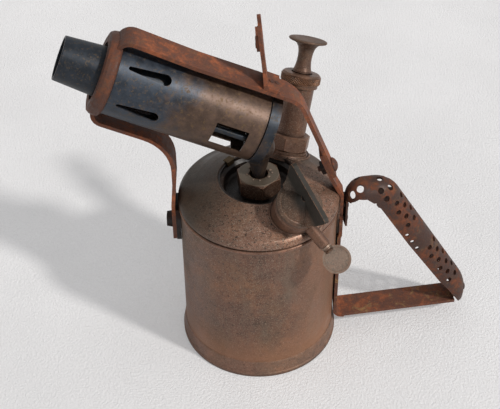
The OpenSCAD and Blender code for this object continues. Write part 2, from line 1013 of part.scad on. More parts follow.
module iron_fork() {
    color("#7c4c33")
        difference() {
            union() {
                at_burner()
                    translate([28.25, -8, 0.2])
                        cube([1.95, 16, 9.3]);
                at_fork()
                    translate([0, 0, 0.3])
                        rotate([90, 0, 90])
                            linear_extrude(2.1)
                                polygon([[-7.8, 0], [7.8, 0], [7.8, 2], [5, 8], [5, 17], [7.6, 25],
                                    [7.6, fork_h - 1], [6.8, fork_h], [4.6, fork_h],
                                    [3.6, fork_h - 6], [2, fork_h - 8.5], [0, fork_h - 9.3],
                                    [-2, fork_h - 8.5], [-3.6, fork_h - 6], [-4.6, fork_h],
                                    [-6.8, fork_h], [-7.6, fork_h - 1], [-7.6, 25], [-5, 17],
                                    [-5, 8], [-7.8, 2]]);
            }
            fork_rivet_holes(1.23);
        }
}

module fork_rivet_holes(r) {
    at_burner()
        for (s = foot_s)
            translate([20, 0, s])
                rotate([0, 90, 0])
                    cylinder(r = r, h = 20);
    at_fork()
        for (y = [-2.6, 2.6])
            translate([-6, y, 25.5])
                rotate([0, 90, 0])
                    cylinder(r = r, h = 12);
}

module fork_plate() {
    color("#6b3f2b")
        difference() {
            at_fork()
                translate([-1.65, 0, 0])
                    rotate([90, 0, 90])
                        linear_extrude(1.6)
                            polygon([[-4.6, 22.5], [4.6, 22.5], [5, 28], [4.8, 32.5], [4, 32.5],
                                [3, 30.6], [0, 29.2], [-3, 30.6], [-4, 32.5], [-4.8, 32.5],
                                [-5, 28]]);
            fork_rivet_holes(1.23);
        }
}

module fork_rivets() {
    color("#55382a") {
        at_burner()
            for (s = foot_s)
                translate([28.3, 0, s])
                    rotate([0, 90, 0]) {
                        cylinder(r = 1.2, h = 2);
                        translate([0, 0, 1.92])
                            cylinder(r1 = 1.6, r2 = 1.4, h = 0.4);
                    }
        at_fork()
            for (y = [-2.6, 2.6])
                translate([0, y, 25.5])
                    rotate([0, -90, 0]) {
                        translate([0, 0, -2.1])
                            cylinder(r = 1.2, h = 4);
                        translate([0, 0, 1.66])
                            cylinder(r1 = 1.9, r2 = 1.5, h = 0.5);
                    }
    }
}

// ---------- draw ----------

tank_body();
tank_base();
tank_dome();
priming_cup();
cup_tab();
burner_socket();
burner_nut();
burner_neck();
back_plate();
burner_sheath();
front_plate();
flame_tube();
jet();
vaporiser_loop();
feed_tube();
wick();
pump_flange();
pump_base_nut();
pump_barrel();
pump_cap();
pump_knob();
pump_rod();
pump_piston();
pump_leather();
valve_body();
valve_pip();
valve_spring();
filler_neck();
filler_plug();
filler_gasket();
release_barrel();
release_screw();
left_lug();
left_bolt();
right_lug();
right_rivets();
handle_strap();
handle_grip();
grip_rivet();
rest_strap();
rest_leg();
joint_bolt();
joint_nut();
iron_fork();
fork_plate();
fork_rivets();
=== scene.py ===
"""Finishes and fine detail for a paraffin blow lamp with a hand pump and a soldering-iron rest."""

import json
import math
from contextlib import contextmanager
from functools import wraps

import bpy
from bpy.props import FloatProperty, FloatVectorProperty, IntProperty, PointerProperty
from mathutils import Matrix, Vector

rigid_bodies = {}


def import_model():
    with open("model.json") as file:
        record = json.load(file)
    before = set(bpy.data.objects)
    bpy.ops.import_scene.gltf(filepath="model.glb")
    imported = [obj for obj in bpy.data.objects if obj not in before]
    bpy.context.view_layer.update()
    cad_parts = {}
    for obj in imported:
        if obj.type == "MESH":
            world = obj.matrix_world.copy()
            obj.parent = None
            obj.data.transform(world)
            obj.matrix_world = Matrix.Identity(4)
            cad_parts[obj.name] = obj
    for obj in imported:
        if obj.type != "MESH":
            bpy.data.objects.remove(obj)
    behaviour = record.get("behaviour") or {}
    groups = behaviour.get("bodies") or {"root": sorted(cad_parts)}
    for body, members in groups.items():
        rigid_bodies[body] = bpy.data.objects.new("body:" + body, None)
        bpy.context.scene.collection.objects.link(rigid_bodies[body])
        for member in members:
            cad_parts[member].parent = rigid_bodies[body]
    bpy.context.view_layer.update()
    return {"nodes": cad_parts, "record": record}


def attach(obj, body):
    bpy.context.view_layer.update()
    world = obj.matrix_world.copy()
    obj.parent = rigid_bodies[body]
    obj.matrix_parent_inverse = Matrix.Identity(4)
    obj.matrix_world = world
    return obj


bl_info = {
    "name": "Blow Lamp Finisher",
    "version": (1, 0, 0),
    "blender": (4, 5, 0),
    "location": "View3D > Sidebar > Blow Lamp",
    "description": "Patina, rust, heat colours and fine metalwork for a paraffin blow lamp",
    "category": "Object",
}

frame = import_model()
nodes = frame["nodes"]

# ---------- places on the lamp, in metres and radians ----------

BURNER_TILT = math.radians(23.5)
BURNER_TURN = math.radians(1.0)
BURNER_FOOT = Vector((0.0, 0.0, 0.162))

PUMP_FOOT = Vector((0.0171, 0.031, 0.1182))
PUMP_LEAN = math.radians(25)
PUMP_WAY = math.radians(64.5)

FILLER_LEAN = math.radians(30)
FILLER_WAY = math.radians(-56)
FILLER_RADIUS = 0.0342
FILLER_FOOT = Vector(
    (FILLER_RADIUS * math.cos(FILLER_WAY), FILLER_RADIUS * math.sin(FILLER_WAY), 0.1184)
)
RELEASE_LIFT = 0.006  # up the filler's axis, where the release screw's axis leaves it
RELEASE_WAY = math.radians(90 - 78.5)

# along the pump's, the filler's and the release screw's own axes
KNURL_MIDDLE = 0.0461
KNURL_WIDTH = 0.0040
CROWN_MIDDLE = 0.0206
CROWN_HEIGHT = 0.0090
CROWN_TOP_RADIUS = 0.0026
THREAD_MIDDLE = 0.0289
PUMP_SOLDER_RADIUS = 0.01415
FILLER_SOLDER_RADIUS = 0.01300

SEAM_RADIUS = 0.0474
SEAM_HEIGHT = 0.1055
CRUMB_RADIUS = 0.0072
CRUMB_HEIGHT = 0.1258
NUT_TOP = max(v.co.z for v in nodes["burner_nut"].data.vertices)


def turned(lean, way, foot):
    """The placing matrix of a fitting that leans away from upright towards a compass direction."""
    return (
        Matrix.Translation(foot)
        @ Matrix.Rotation(way, 4, "Z")
        @ Matrix.Rotation(lean, 4, "Y")
    )


def lifted(place, height):
    """A placing matrix moved along its own upright axis."""
    return place @ Matrix.Translation((0, 0, height))


def upright(place):
    """The direction in which a placing matrix points its upright axis."""
    return (place.to_3x3() @ Vector((0, 0, 1))).normalized()


AT_PUMP = turned(PUMP_LEAN, PUMP_WAY, PUMP_FOOT)
AT_FILLER = turned(FILLER_LEAN, FILLER_WAY, FILLER_FOOT)
AT_BURNER = turned(BURNER_TILT - math.pi / 2, BURNER_TURN, BURNER_FOOT)
AT_RELEASE = (
    lifted(AT_FILLER, RELEASE_LIFT)
    @ Matrix.Rotation(RELEASE_WAY, 4, "Z")
    @ Matrix.Rotation(math.pi / 2, 4, "Y")
)
BURNER_AXIS = upright(AT_BURNER)
FILLER_AXIS = upright(AT_FILLER)

# ---------- settings ----------


def tint(code):
    """A colour written as six hex digits, as the linear values that shaders use."""
    parts = [int(code[i : i + 2], 16) / 255 for i in (0, 2, 4)]
    return tuple(c / 12.92 if c <= 0.04045 else ((c + 0.055) / 1.055) ** 2.4 for c in parts)


def colour(title, about, code):
    """A colour property with its default written in hex."""
    return FloatVectorProperty(
        name=title, description=about, subtype="COLOR", size=3, min=0, max=1, default=tint(code)
    )


def length(title, about, value):
    """A length property in metres."""
    return FloatProperty(name=title, description=about, default=value, unit="LENGTH", precision=5)


class LampSizes(bpy.types.PropertyGroup):
    """Sizes of the added metalwork"""

    knurl_radius: length("Knurl radius", "Radius of the pump cap's grip band", 0.0117)
    knurl_depth: length("Knurl depth", "How far each diamond stands out", 0.00055)
    knurl_count: IntProperty(
        name="Diamonds", description="Diamonds round the pump cap", default=46, min=24, max=90
    )
    knurl_rows: IntProperty(name="Rows", description="Rows of diamonds", default=3, min=2, max=5)
    thread_radius: length("Thread radius", "Outside radius of the release screw's thread", 0.0029)
    thread_pitch: length("Thread pitch", "Spacing of the release screw's ridges", 0.0009)
    thread_ridges: IntProperty(
        name="Ridges", description="Ridges that show on the release screw", default=4, min=2, max=8
    )
    crown_radius: length("Crown radius", "Radius of the filler crown at its rim", 0.0118)
    solder_bead: length("Solder bead", "Thickness of the solder run round each fitting", 0.0008)
    seam_bead: length("Seam bead", "Thickness of the soldered seam round the tank", 0.00105)


class LampColours(bpy.types.PropertyGroup):
    """Colours of the metal, the rust, and the dark colour of the painted shade"""

    copper: colour("Copper", "Body of the tank's aged copper colour", "735344")
    copper_warm: colour("Warm copper", "Patches rubbed back to warmer metal", "8a5f43")
    nickel: colour("Worn nickel", "Grey left on the release screw", "8d7e71")
    # the dark colour of the painted shade in corners and under fittings
    verdigris: colour("Grey green", "Dull grey green bloom over the copper", "625a4e")
    shade_colour: colour("Soot", "Soot and burnt fuel", "1a1817")
    rust: colour("Rust", "Body of the rust", "74422b")
    rust_dark: colour("Dark rust", "Old dark scale under the rust", "3a2822")
    rust_bright: colour("Bright rust", "Fresh orange rust", "955434")
    ochre: colour("Ochre", "Dry yellow deposit on the rust", "9a7a4c")
    blued: colour("Heat blue", "Steel turned blue black by the flame", "383f49")
    straw: colour("Straw", "Brown straw tint where the steel was cooler", "614b3e")
    plum: colour("Plum", "Purple brown band between blue and straw", "5a463a")


class LampStage(bpy.types.PropertyGroup):
    """The light and the sheet under the lamp"""

    sun: FloatProperty(name="Sun", description="Strength of the sun lamp", default=2.3, min=0)
    fill: FloatProperty(name="Fill", description="Strength of the sky", default=0.54, min=0)
    sheet: colour("Sheet", "Colour of the pale sheet under the lamp", "f4f2f2")


# ---------- shader building ----------


class Graph:
    """Adds nodes and links to one node tree, in columns from left to right."""

    def __init__(self, tree):
        self.tree = tree
        self.count = 0

    def feed(self, socket, item):
        """Links another socket into this one, or writes a number, vector or colour on it."""
        if isinstance(item, bpy.types.NodeSocket):
            self.tree.links.new(item, socket)
        elif isinstance(item, (int, float)):
            socket.default_value = item
        else:
            socket.default_value = (*item, 1.0)[: len(socket.default_value)]

    def add(self, kind, inputs=None, **settings):
        """A new node with its settings made and its inputs fed."""
        node = self.tree.nodes.new(kind)
        node.location = (220 * (self.count % 9), -260 * (self.count // 9))
        self.count += 1
        for key, value in settings.items():
            setattr(node, key, value)
        for key, item in (inputs or {}).items():
            self.feed(node.inputs[key], item)
        return node

    def noise(self, where, scale, detail=5.0, rough=0.6, stretch=0.0):
        """Cloudy noise from nought to one."""
        node = self.add(
            "ShaderNodeTexNoise",
            {
                "Vector": where,
                "Scale": scale,
                "Detail": detail,
                "Roughness": rough,
                "Distortion": stretch,
            },
        )
        return node.outputs["Fac"]

    def band(self, value, low, high, out_low=0.0, out_high=1.0):
        """The value stretched so that low to high becomes out_low to out_high, with soft ends."""
        node = self.add(
            "ShaderNodeMapRange",
            {
                "Value": value,
                "From Min": low,
                "From Max": high,
                "To Min": out_low,
                "To Max": out_high,
            },
            interpolation_type="SMOOTHSTEP",
        )
        return node.outputs["Result"]

    def math(self, kind, first, second, clamp=False):
        """Two values added, taken away, multiplied or compared."""
        node = self.add("ShaderNodeMath", {0: first, 1: second}, operation=kind, use_clamp=clamp)
        return node.outputs[0]

    def times(self, first, second):
        """The product of two values."""
        return self.math("MULTIPLY", first, second)

    def mix(self, amount, under, over, blend="MIX"):
        """One colour laid over another."""
        # a Mix node keeps its two colours at inputs 6 and 7, and their result at output 2
        node = self.add(
            "ShaderNodeMix", {0: amount, 6: under, 7: over}, data_type="RGBA", blend_type=blend
        )
        return node.outputs[2]

    def cloud(self, base, value, low, high, darkest, brightest):
        """A colour made darker and brighter by a noise."""
        tone = self.band(value, low, high, darkest, brightest)
        grey = self.add("ShaderNodeCombineColor", {"Red": tone, "Green": tone, "Blue": tone})
        return self.mix(1.0, base, grey.outputs[0], "MULTIPLY")


VECTOR = "NodeSocketVector"
VALUE = "NodeSocketFloat"
COLOUR = "NodeSocketColor"
SURFACE = {"Color": COLOUR, "Rough": VALUE, "Height": VALUE}
MASK = {"Mask": VALUE}


def shared_effect(name, inputs, outputs):
    """Turns a function that draws an effect into one that gives its shader group, built once."""

    def prepare(draw):
        @wraps(draw)
        def give():
            tree = bpy.data.node_groups.get(name)
            if tree:
                return tree
            tree = bpy.data.node_groups.new(name, "ShaderNodeTree")
            tree.interface.new_socket("Place", in_out="INPUT", socket_type=VECTOR)
            for title, default in inputs.items():
                kind = VALUE if isinstance(default, float) else COLOUR
                made = tree.interface.new_socket(title, in_out="INPUT", socket_type=kind)
                made.default_value = default
            for title, kind in outputs.items():
                tree.interface.new_socket(title, in_out="OUTPUT", socket_type=kind)
            g = Graph(tree)
            given = g.add("NodeGroupInput").outputs
            end = g.add("NodeGroupOutput")
            for title, source in draw(g, given).items():
                g.feed(end.inputs[title], source)
            return tree

        return give

    return prepare


@shared_effect(
    "aged_copper",
    {
        "Body": (0.25, 0.14, 0.09, 1),
        "Warm": (0.35, 0.15, 0.08, 1),
        "Bloom": (0.17, 0.15, 0.1, 1),
        "Bloom Amount": 0.5,
        "Specks": 0.5,
    },
    SURFACE,
)
def patina(g, given):
    """Aged copper: body colour, warm rubbed patches, grey bloom, dark and pale specks."""
    place = given["Place"]
    dark_dirt, pale_dust = (0.028, 0.019, 0.014), (0.42, 0.33, 0.25)
    wide = g.noise(place, 26, 6, 0.62, 0.4)
    mid = g.noise(place, 120, 6, 0.68, 0.3)
    fine = g.noise(place, 620, 4, 0.7)
    grain = g.noise(place, 1700, 2, 0.6)
    warm = g.times(g.band(wide, 0.40, 0.72, 0.0, 0.75), g.band(mid, 0.3, 0.62, 0.35, 1.0))
    base = g.mix(warm, given["Body"], given["Warm"])
    cool = g.times(g.band(g.noise(place, 17, 6, 0.66, 0.5), 0.42, 0.68), given["Bloom Amount"])
    base = g.mix(cool, base, given["Bloom"])
    base = g.cloud(base, mid, 0.25, 0.75, 0.72, 1.22)
    base = g.mix(g.times(g.band(fine, 0.50, 0.74), given["Specks"]), base, dark_dirt)
    pale = g.times(g.times(g.band(grain, 0.52, 0.68), given["Specks"]), 0.5)
    return {
        "Color": g.mix(pale, base, pale_dust),
        "Rough": g.band(g.math("ADD", mid, cool), 0.3, 1.1, 0.36, 0.66),
        "Height": g.math("ADD", g.times(wide, 1.6), g.times(fine, 0.16)),
    }


@shared_effect(
    "layered_rust",
    {
        "Body": (0.2, 0.07, 0.03, 1),
        "Dark": (0.04, 0.02, 0.016, 1),
        "Bright": (0.38, 0.12, 0.04, 1),
        "Ochre": (0.32, 0.2, 0.08, 1),
        "Dark Amount": 0.5,
        "Ochre Amount": 0.2,
        "Pits": 0.5,
    },
    SURFACE,
)
def rust(g, given):
    """Layered rust: dark scale, rust body, bright orange and dry ochre, with pits."""
    place = given["Place"]
    patch = g.noise(place, 62, 7, 0.7, 0.5)
    mottle = g.noise(place, 260, 6, 0.72)
    grain = g.noise(place, 1300, 3, 0.7)
    bright = g.times(g.band(mottle, 0.44, 0.66), g.band(patch, 0.35, 0.6, 0.3, 1.0))
    base = g.mix(bright, given["Body"], given["Bright"])
    scale = g.band(g.math("ADD", patch, g.times(mottle, 0.35)), 0.78, 0.62)
    scale = g.times(scale, given["Dark Amount"])
    base = g.mix(scale, base, given["Dark"])
    dry = g.band(g.noise(place, 120, 6, 0.75, 0.6), 0.52, 0.68)
    base = g.mix(g.times(dry, given["Ochre Amount"]), base, given["Ochre"])
    base = g.mix(g.times(g.band(grain, 0.58, 0.7), 0.8), base, given["Dark"])
    base = g.mix(g.times(g.band(grain, 0.42, 0.32), 0.5), base, given["Bright"])
    pit = g.add("ShaderNodeTexVoronoi", {"Vector": place, "Scale": 420.0, "Randomness": 1.0})
    hollow = g.times(g.band(pit.outputs["Distance"], 0.28, 0.05), given["Pits"])
    relief = g.math("ADD", g.times(mottle, 0.6), g.times(grain, 0.2))
    dull = g.math("SUBTRACT", mottle, g.times(scale, 0.35))
    return {
        "Color": g.mix(g.times(hollow, 0.65), base, given["Dark"]),
        "Rough": g.band(dull, 0.1, 0.6, 0.5, 0.88),
        "Height": g.math("SUBTRACT", relief, g.times(hollow, 0.5)),
    }


@shared_effect(
    "heat_tint",
    {
        "Along": 0.05,
        "Blue": (0.07, 0.09, 0.12, 1),
        "Plum": (0.2, 0.12, 0.1, 1),
        "Straw": (0.27, 0.18, 0.12, 1),
        "Rust": (0.25, 0.1, 0.05, 1),
        "Rust Amount": 0.4,
    },
    SURFACE,
)
def heat_tint(g, given):
    """Steel tempered by flame: straw at the burner's foot, then plum, then blue to the mouth."""
    place = given["Place"]
    black = (0.015, 0.014, 0.014)
    drift = g.noise(place, 30, 5, 0.65, 0.6)
    mottle = g.noise(place, 170, 6, 0.72)
    grain = g.noise(place, 1100, 3, 0.7)
    waver = g.times(g.math("SUBTRACT", drift, 0.5), 0.11)
    along = g.math("ADD", given["Along"], waver)
    base = g.mix(g.band(along, 0.016, 0.042), given["Straw"], given["Plum"])
    base = g.mix(g.band(along, 0.046, 0.070), base, given["Blue"])
    base = g.cloud(base, mottle, 0.28, 0.72, 0.66, 1.34)
    flecks = g.noise(place, 420, 5, 0.75)
    spots = g.band(g.math("ADD", flecks, g.times(grain, 0.45)), 0.76, 0.9)
    spots = g.times(spots, given["Rust Amount"])
    base = g.mix(spots, base, given["Rust"])
    return {
        "Color": g.mix(g.times(g.band(grain, 0.57, 0.72), 0.6), base, black),
        "Rough": g.band(g.math("ADD", mottle, spots), 0.3, 1.2, 0.38, 0.8),
        "Height": g.math("ADD", g.times(mottle, 0.5), g.times(grain, 0.2)),
    }


@shared_effect(
    "two_tone_grain",
    {
        "Dark": (0.1, 0.1, 0.1, 1),
        "Light": (0.2, 0.2, 0.2, 1),
        "Scale": 300.0,
        "Rough Low": 0.4,
        "Rough High": 0.6,
    },
    SURFACE,
)
def two_tone_grain(g, given):
    """Two tones of one colour, broken by a single noise that is also the relief."""
    value = g.noise(given["Place"], given["Scale"], 5, 0.65)
    return {
        "Color": g.mix(g.band(value, 0.3, 0.7), given["Dark"], given["Light"]),
        "Rough": g.band(value, 0.3, 0.7, given["Rough Low"], given["Rough High"]),
        "Height": value,
    }


@shared_effect("rubbed_edge", {"Width": 0.0006, "Amount": 0.6}, MASK)
def rubbed_edge(g, given):
    """Where an outer edge is rubbed: bevelled normal against true normal, broken up by noise."""
    soft = g.add("ShaderNodeBevel", {"Radius": given["Width"]}, samples=6).outputs[0]
    true = g.add("ShaderNodeNewGeometry").outputs["Normal"]
    dot = g.add("ShaderNodeVectorMath", {0: soft, 1: true}, operation="DOT_PRODUCT")
    edge = g.band(dot.outputs["Value"], 0.985, 0.86)
    broken = g.band(g.noise(given["Place"], 420, 5, 0.7), 0.36, 0.6)
    return {"Mask": g.math("MULTIPLY", g.times(edge, broken), given["Amount"], clamp=True)}


@shared_effect("corner_shade", {"Reach": 0.006, "Amount": 0.7}, MASK)
def corner_shade(g, given):
    """Painted shade: corners and the undersides of fittings darkened by how closed in they are,
    broken up by noise.
    """
    near = g.add("ShaderNodeAmbientOcclusion", {"Distance": given["Reach"]}, samples=6)
    shut = g.band(near.outputs["AO"], 0.86, 0.3)
    broken = g.band(g.noise(given["Place"], 240, 5, 0.7), 0.25, 0.6, 0.55, 1.0)
    return {"Mask": g.math("MULTIPLY", g.times(shut, broken), given["Amount"], clamp=True)}


def lighter(value, factor):
    """A colour made brighter, or darker where the factor is under one."""
    return tuple(min(1.0, c * factor) for c in value)


class Finish:
    """One material under construction: object coordinates, a Principled shader and its graph."""

    def __init__(self, name):
        self.material = bpy.data.materials.new(name)
        self.material.use_nodes = True
        self.material.node_tree.nodes.clear()
        self.g = Graph(self.material.node_tree)
        self.shader = self.g.add("ShaderNodeBsdfPrincipled")
        self.out = self.g.add("ShaderNodeOutputMaterial", {"Surface": self.shader.outputs[0]})
        self.out.location = (2200, 0)
        self.place = self.g.add("ShaderNodeTexCoord").outputs["Object"]

    def use(self, effect, inputs):
        """Places a shared effect with its own values; gives its outputs."""
        node = self.g.add(
            "ShaderNodeGroup", {"Place": self.place, **inputs}, node_tree=effect()
        )
        return node.outputs

    def worn_and_shaded(self, base, rubbed, shade_colour, width, edge, reach, corners):
        """Bright rubbed edges, and painted shade in the corners over them."""
        mask = self.use(rubbed_edge, {"Width": width, "Amount": edge})["Mask"]
        base = self.g.mix(mask, base, rubbed)
        # painted shade: corners and undersides darkened towards the shade colour
        mask = self.use(corner_shade, {"Reach": reach, "Amount": corners})["Mask"]
        return self.g.mix(mask, base, shade_colour)

    def along(self, letter):
        """How far the shaded point lies from the origin along X, Y or Z, in metres."""
        return self.g.add("ShaderNodeSeparateXYZ", {"Vector": self.place}).outputs[letter]

    def reach(self, axis, foot):
        """How far the shaded point lies from a foot point along an axis, in metres."""
        dot = self.g.add("ShaderNodeVectorMath", {0: self.place, 1: axis}, operation="DOT_PRODUCT")
        return self.g.math("SUBTRACT", dot.outputs["Value"], foot.dot(axis))

    def close(self, color, rough, height, bump, strength, metal=0.0):
        """Feeds the shader and gives the finished material."""
        relief = self.g.add(
            "ShaderNodeBump", {"Height": height, "Distance": bump, "Strength": strength}
        )
        inputs = {
            "Base Color": color,
            "Roughness": rough,
            "Normal": relief.outputs[0],
            "Metallic": metal,
        }
        for key, item in inputs.items():
            self.g.feed(self.shader.inputs[key], item)
        return self.material


# ---------- finishes ----------


def darkened_and_shadowed_dome(f, base, palette, amount):
    """Darker over the left of the dome, under the burner, and a painted shadow of the pump and the
    burner over the far side, by the pump.
    """
    g = f.g
    x, y = f.along("X"), f.along("Y")
    left = g.band(g.math("SUBTRACT", g.times(y, 0.5), x), -0.022, 0.034)
    # painted shadow cast by the pump and the burner on the far side of the dome
    back = g.band(y, 0.004, 0.024, 0.0, 0.9)
    shade = g.times(g.math("MAXIMUM", left, back), amount)
    return g.mix(shade, base, lighter(palette.verdigris, 0.32))


def streaked_wall_with_sheen(f, base, palette, amount):
    """Upright pale streaks on the tank's wall, stronger on the right; a lighter, warmer colour low
    down; and a painted sheen that makes the lit right side lighter, warmer and greyer.
    """
    g = f.g
    x, z = f.along("X"), f.along("Z")
    drawn = g.add("ShaderNodeMapping", {"Vector": f.place, "Scale": (1.0, 1.0, 0.22)}).outputs[0]
    pale = g.band(g.noise(drawn, 95, 6, 0.65, 0.3), 0.47, 0.66)
    # the streaks grow stronger to the right: a painted grey sheen on the lit side
    pale = g.times(pale, g.band(x, -0.03, 0.05, 0.25, 1.0))
    base = g.mix(g.times(pale, amount), base, lighter(palette.verdigris, 1.25))
    low = g.band(z, 0.045, 0.004, 0.0, 0.6)
    base = g.mix(low, base, lighter(palette.copper_warm, 1.38))
    # painted sheen: the lit right side made lighter and warmer
    right = g.band(x, 0.012, 0.044, 0.0, 0.45)
    return g.mix(right, base, lighter(palette.copper_warm, 1.2))


def dark_and_shaded_wing(f, base, palette, amount):
    """The filler's wing, darkened above its crown: blackened metal, and painted shade for its
    shaded face.
    """
    above = f.g.band(f.reach(FILLER_AXIS, FILLER_FOOT), 0.0180, 0.0235)
    return f.g.mix(f.g.times(above, amount), base, lighter(palette.verdigris, 0.2))


def pale_top(f, base, palette, amount):
    """The nut's top face, dull and grey against its brown flats."""
    top = f.g.band(f.along("Z"), NUT_TOP - 0.0005, NUT_TOP - 0.0001, 0.0, amount)
    return f.g.mix(top, base, lighter(palette.verdigris, 1.3))


def nickelled(f, base, palette, amount):
    """What is left of a thin nickel plating."""
    return f.g.mix(amount, base, palette.nickel)


def copper_finish(
    name, palette, body, bloom, specks, metal=0.45, edge=0.4, corners=0.8, layer=None, amount=0.0
):
    """Aged copper or brass, with one layer of its own where a piece has one."""
    f = Finish(name)
    aged = f.use(
        patina,
        {
            "Body": lighter(palette.copper, body),
            "Warm": lighter(palette.copper_warm, body),
            "Bloom": lighter(palette.verdigris, body),
            "Bloom Amount": bloom,
            "Specks": specks,
        },
    )
    base = aged["Color"]
    if layer:
        base = layer(f, base, palette, amount)
    rubbed = lighter(palette.copper_warm, 1.5)
    base = f.worn_and_shaded(base, rubbed, palette.shade_colour, 0.0005, edge, 0.007, corners)
    return f.close(base, aged["Rough"], aged["Height"], 0.0006, 0.35, metal)


def rust_finish(name, palette, body, dark, ochre, pits, burnt=0.0):
    """Rusty wrought strip, darker where it stands near the flame."""
    f = Finish(name)
    aged = f.use(
        rust,
        {
            "Body": lighter(palette.rust, body),
            "Dark": lighter(palette.rust_dark, body),
            "Bright": lighter(palette.rust_bright, body),
            "Ochre": lighter(palette.ochre, body),
            "Dark Amount": dark,
            "Ochre Amount": ochre,
            "Pits": pits,
        },
    )
    base = aged["Color"]
    if burnt:
        near = f.g.band(f.reach(BURNER_AXIS, BURNER_FOOT), 0.078, 0.092)
        base = f.g.mix(f.g.times(near, burnt), base, lighter(palette.rust_dark, 0.75))
    rubbed = lighter(palette.rust_bright, 1.25)
    base = f.worn_and_shaded(base, rubbed, palette.shade_colour, 0.0004, 0.25, 0.004, 0.55)
    return f.close(base, aged["Rough"], aged["Height"], 0.0005, 0.55, metal=0.1)


def heat_finish(name, palette, body, rusty, shift):
    """Flame-blued steel, with its colours laid along the burner."""
    f = Finish(name)
    burnt = f.use(
        heat_tint,
        {
            "Along": f.g.math("ADD", f.reach(BURNER_AXIS, BURNER_FOOT), shift),
            "Blue": lighter(palette.blued, body),
            "Plum": lighter(palette.plum, body),
            "Straw": lighter(palette.straw, body),
            "Rust": lighter(palette.ochre, 0.8),
            "Rust Amount": rusty,
        },
    )
    rubbed = lighter(palette.straw, 1.2)
    base = f.worn_and_shaded(burnt["Color"], rubbed, palette.shade_colour, 0.0004, 0.5, 0.005, 0.75)
    return f.close(base, burnt["Rough"], burnt["Height"], 0.0004, 0.4, metal=0.5)


def plain_finish(name, palette, code, smooth, coarse, metal=0.0, scale=300, bump=0.0002):
    """A small inner piece: one colour in two tones, and painted shade in its corners."""
    f = Finish(name)
    grain = f.use(
        two_tone_grain,
        {
            "Dark": lighter(tint(code), 0.7),
            "Light": lighter(tint(code), 1.15),
            "Scale": scale,
            "Rough Low": smooth,
            "Rough High": coarse,
        },
    )
    # painted shade: corners darkened towards a near black
    shade_mask = f.use(corner_shade, {"Reach": 0.003, "Amount": 0.5})["Mask"]
    base = f.g.mix(shade_mask, grain["Color"], (0.02, 0.018, 0.016))
    return f.close(base, grain["Rough"], grain["Height"], bump, 0.4, metal)


# Each row is a material slot of the solids and the recipe of its finish. The last two rows of
# the coppers are for pieces that are added here.
COPPERS = {
    "tank": dict(
        name="tank_copper", body=0.90, bloom=0.55, specks=0.9, corners=0.4,
        layer=streaked_wall_with_sheen, amount=0.6,
    ),
    "base": dict(name="foot_copper", body=1.15, bloom=0.35, specks=0.7),
    "dome": dict(
        name="dome_copper", body=1.32, bloom=0.35, specks=1.5, corners=0.5,
        layer=darkened_and_shadowed_dome, amount=0.85,
    ),
    # near black all over: soot, and painted shade in the cup's hollow
    "cup": dict(name="sooty_shaded_cup", body=0.07, bloom=0.1, specks=0.3, metal=0.1, edge=0.0),
    "nut": dict(
        name="nut_brass", body=0.5, bloom=0.0, specks=0.8, metal=0.5, edge=1.0, corners=0.45,
        layer=pale_top, amount=0.75,
    ),
    "pump_brass": dict(
        name="pump_brass", body=0.7, bloom=0.5, specks=0.6, metal=0.5, edge=0.8
    ),
    "pump_nut": dict(
        name="pump_nut_brass", body=0.85, bloom=0.3, specks=0.6, metal=0.5, edge=0.7
    ),
    "filler_dark": dict(
        name="filler_bronze", body=0.62, bloom=1.0, specks=0.7, metal=0.4, edge=0.7,
        layer=dark_and_shaded_wing, amount=0.97,
    ),
    "filler_neck": dict(name="filler_copper", body=0.85, bloom=0.2, specks=0.5, metal=0.5),
    "screw": dict(
        name="worn_nickel", body=1.4, bloom=1.1, specks=1.6, metal=0.6, edge=0.8,
        layer=nickelled, amount=0.6,
    ),
    "lug_brass": dict(name="green_brass", body=0.6, bloom=1.6, specks=0.9, metal=0.3, edge=0.6),
    "seam": dict(name="seam_copper", body=1.1, bloom=0.2, specks=0.7, edge=0.8, corners=0.2),
    "knurl": dict(name="knurl_brass", body=0.62, bloom=0.3, specks=0.9, metal=0.5, edge=1.0),
}
STEELS = {
    "sheath": dict(name="shield_steel", body=0.84, rusty=0.35, shift=0.0),
    "burner_steel": dict(name="burner_steel", body=0.5, rusty=0.25, shift=0.06),
}
RUSTS = {
    "rust_strap": dict(name="rest_rust", body=1.05, dark=0.5, ochre=0.12, pits=0.35, burnt=0.5),
    "rust_handle": dict(name="handle_rust", body=0.95, dark=0.5, ochre=0.75, pits=0.35),
    "rust_grip": dict(name="grip_rust", body=0.58, dark=0.75, ochre=0.3, pits=0.4),
    "rust_bolt": dict(name="bolt_rust", body=0.7, dark=0.7, ochre=0.1, pits=0.5),
    "lug_dark": dict(name="lug_scale", body=0.08, dark=0.95, ochre=0.03, pits=0.5),
}
INNERS = {
    "jet_brass": dict(name="jet_brass", code="5f4c33", smooth=0.35, coarse=0.6, metal=0.6),
    "steel": dict(name="rod_steel", code="8a8078", smooth=0.3, coarse=0.5, metal=0.8),
    "rubber": dict(name="seal_rubber", code="24201d", smooth=0.6, coarse=0.8),
    "leather": dict(name="cup_leather", code="3d2c1f", smooth=0.6, coarse=0.8),
    "wick": dict(
        name="cotton_wick", code="cfc6ae", smooth=0.85, coarse=0.95, scale=900, bump=0.0004
    ),
}
FINISHES = {}


def lay_finishes(recipes, make, palette):
    """Makes each finish of a table, and gives it to the solids that have its slot."""
    for slot, recipe in recipes.items():
        FINISHES[slot] = make(palette=palette, **recipe)
        for part in frame["record"]["subparts"]:
            if part["material_slot"] == slot:
                materials = nodes[part["node"]].data.materials
                materials.clear()
                materials.append(FINISHES[slot])


# ---------- modelling helpers ----------


def clear_selection():
    """Nothing is selected or active."""
    for obj in bpy.context.view_layer.objects:
        obj.select_set(False)
    bpy.context.view_layer.objects.active = None


def choose(obj):
    """Only this object is selected, and it is active."""
    clear_selection()
    obj.select_set(True)
    bpy.context.view_layer.objects.active = obj


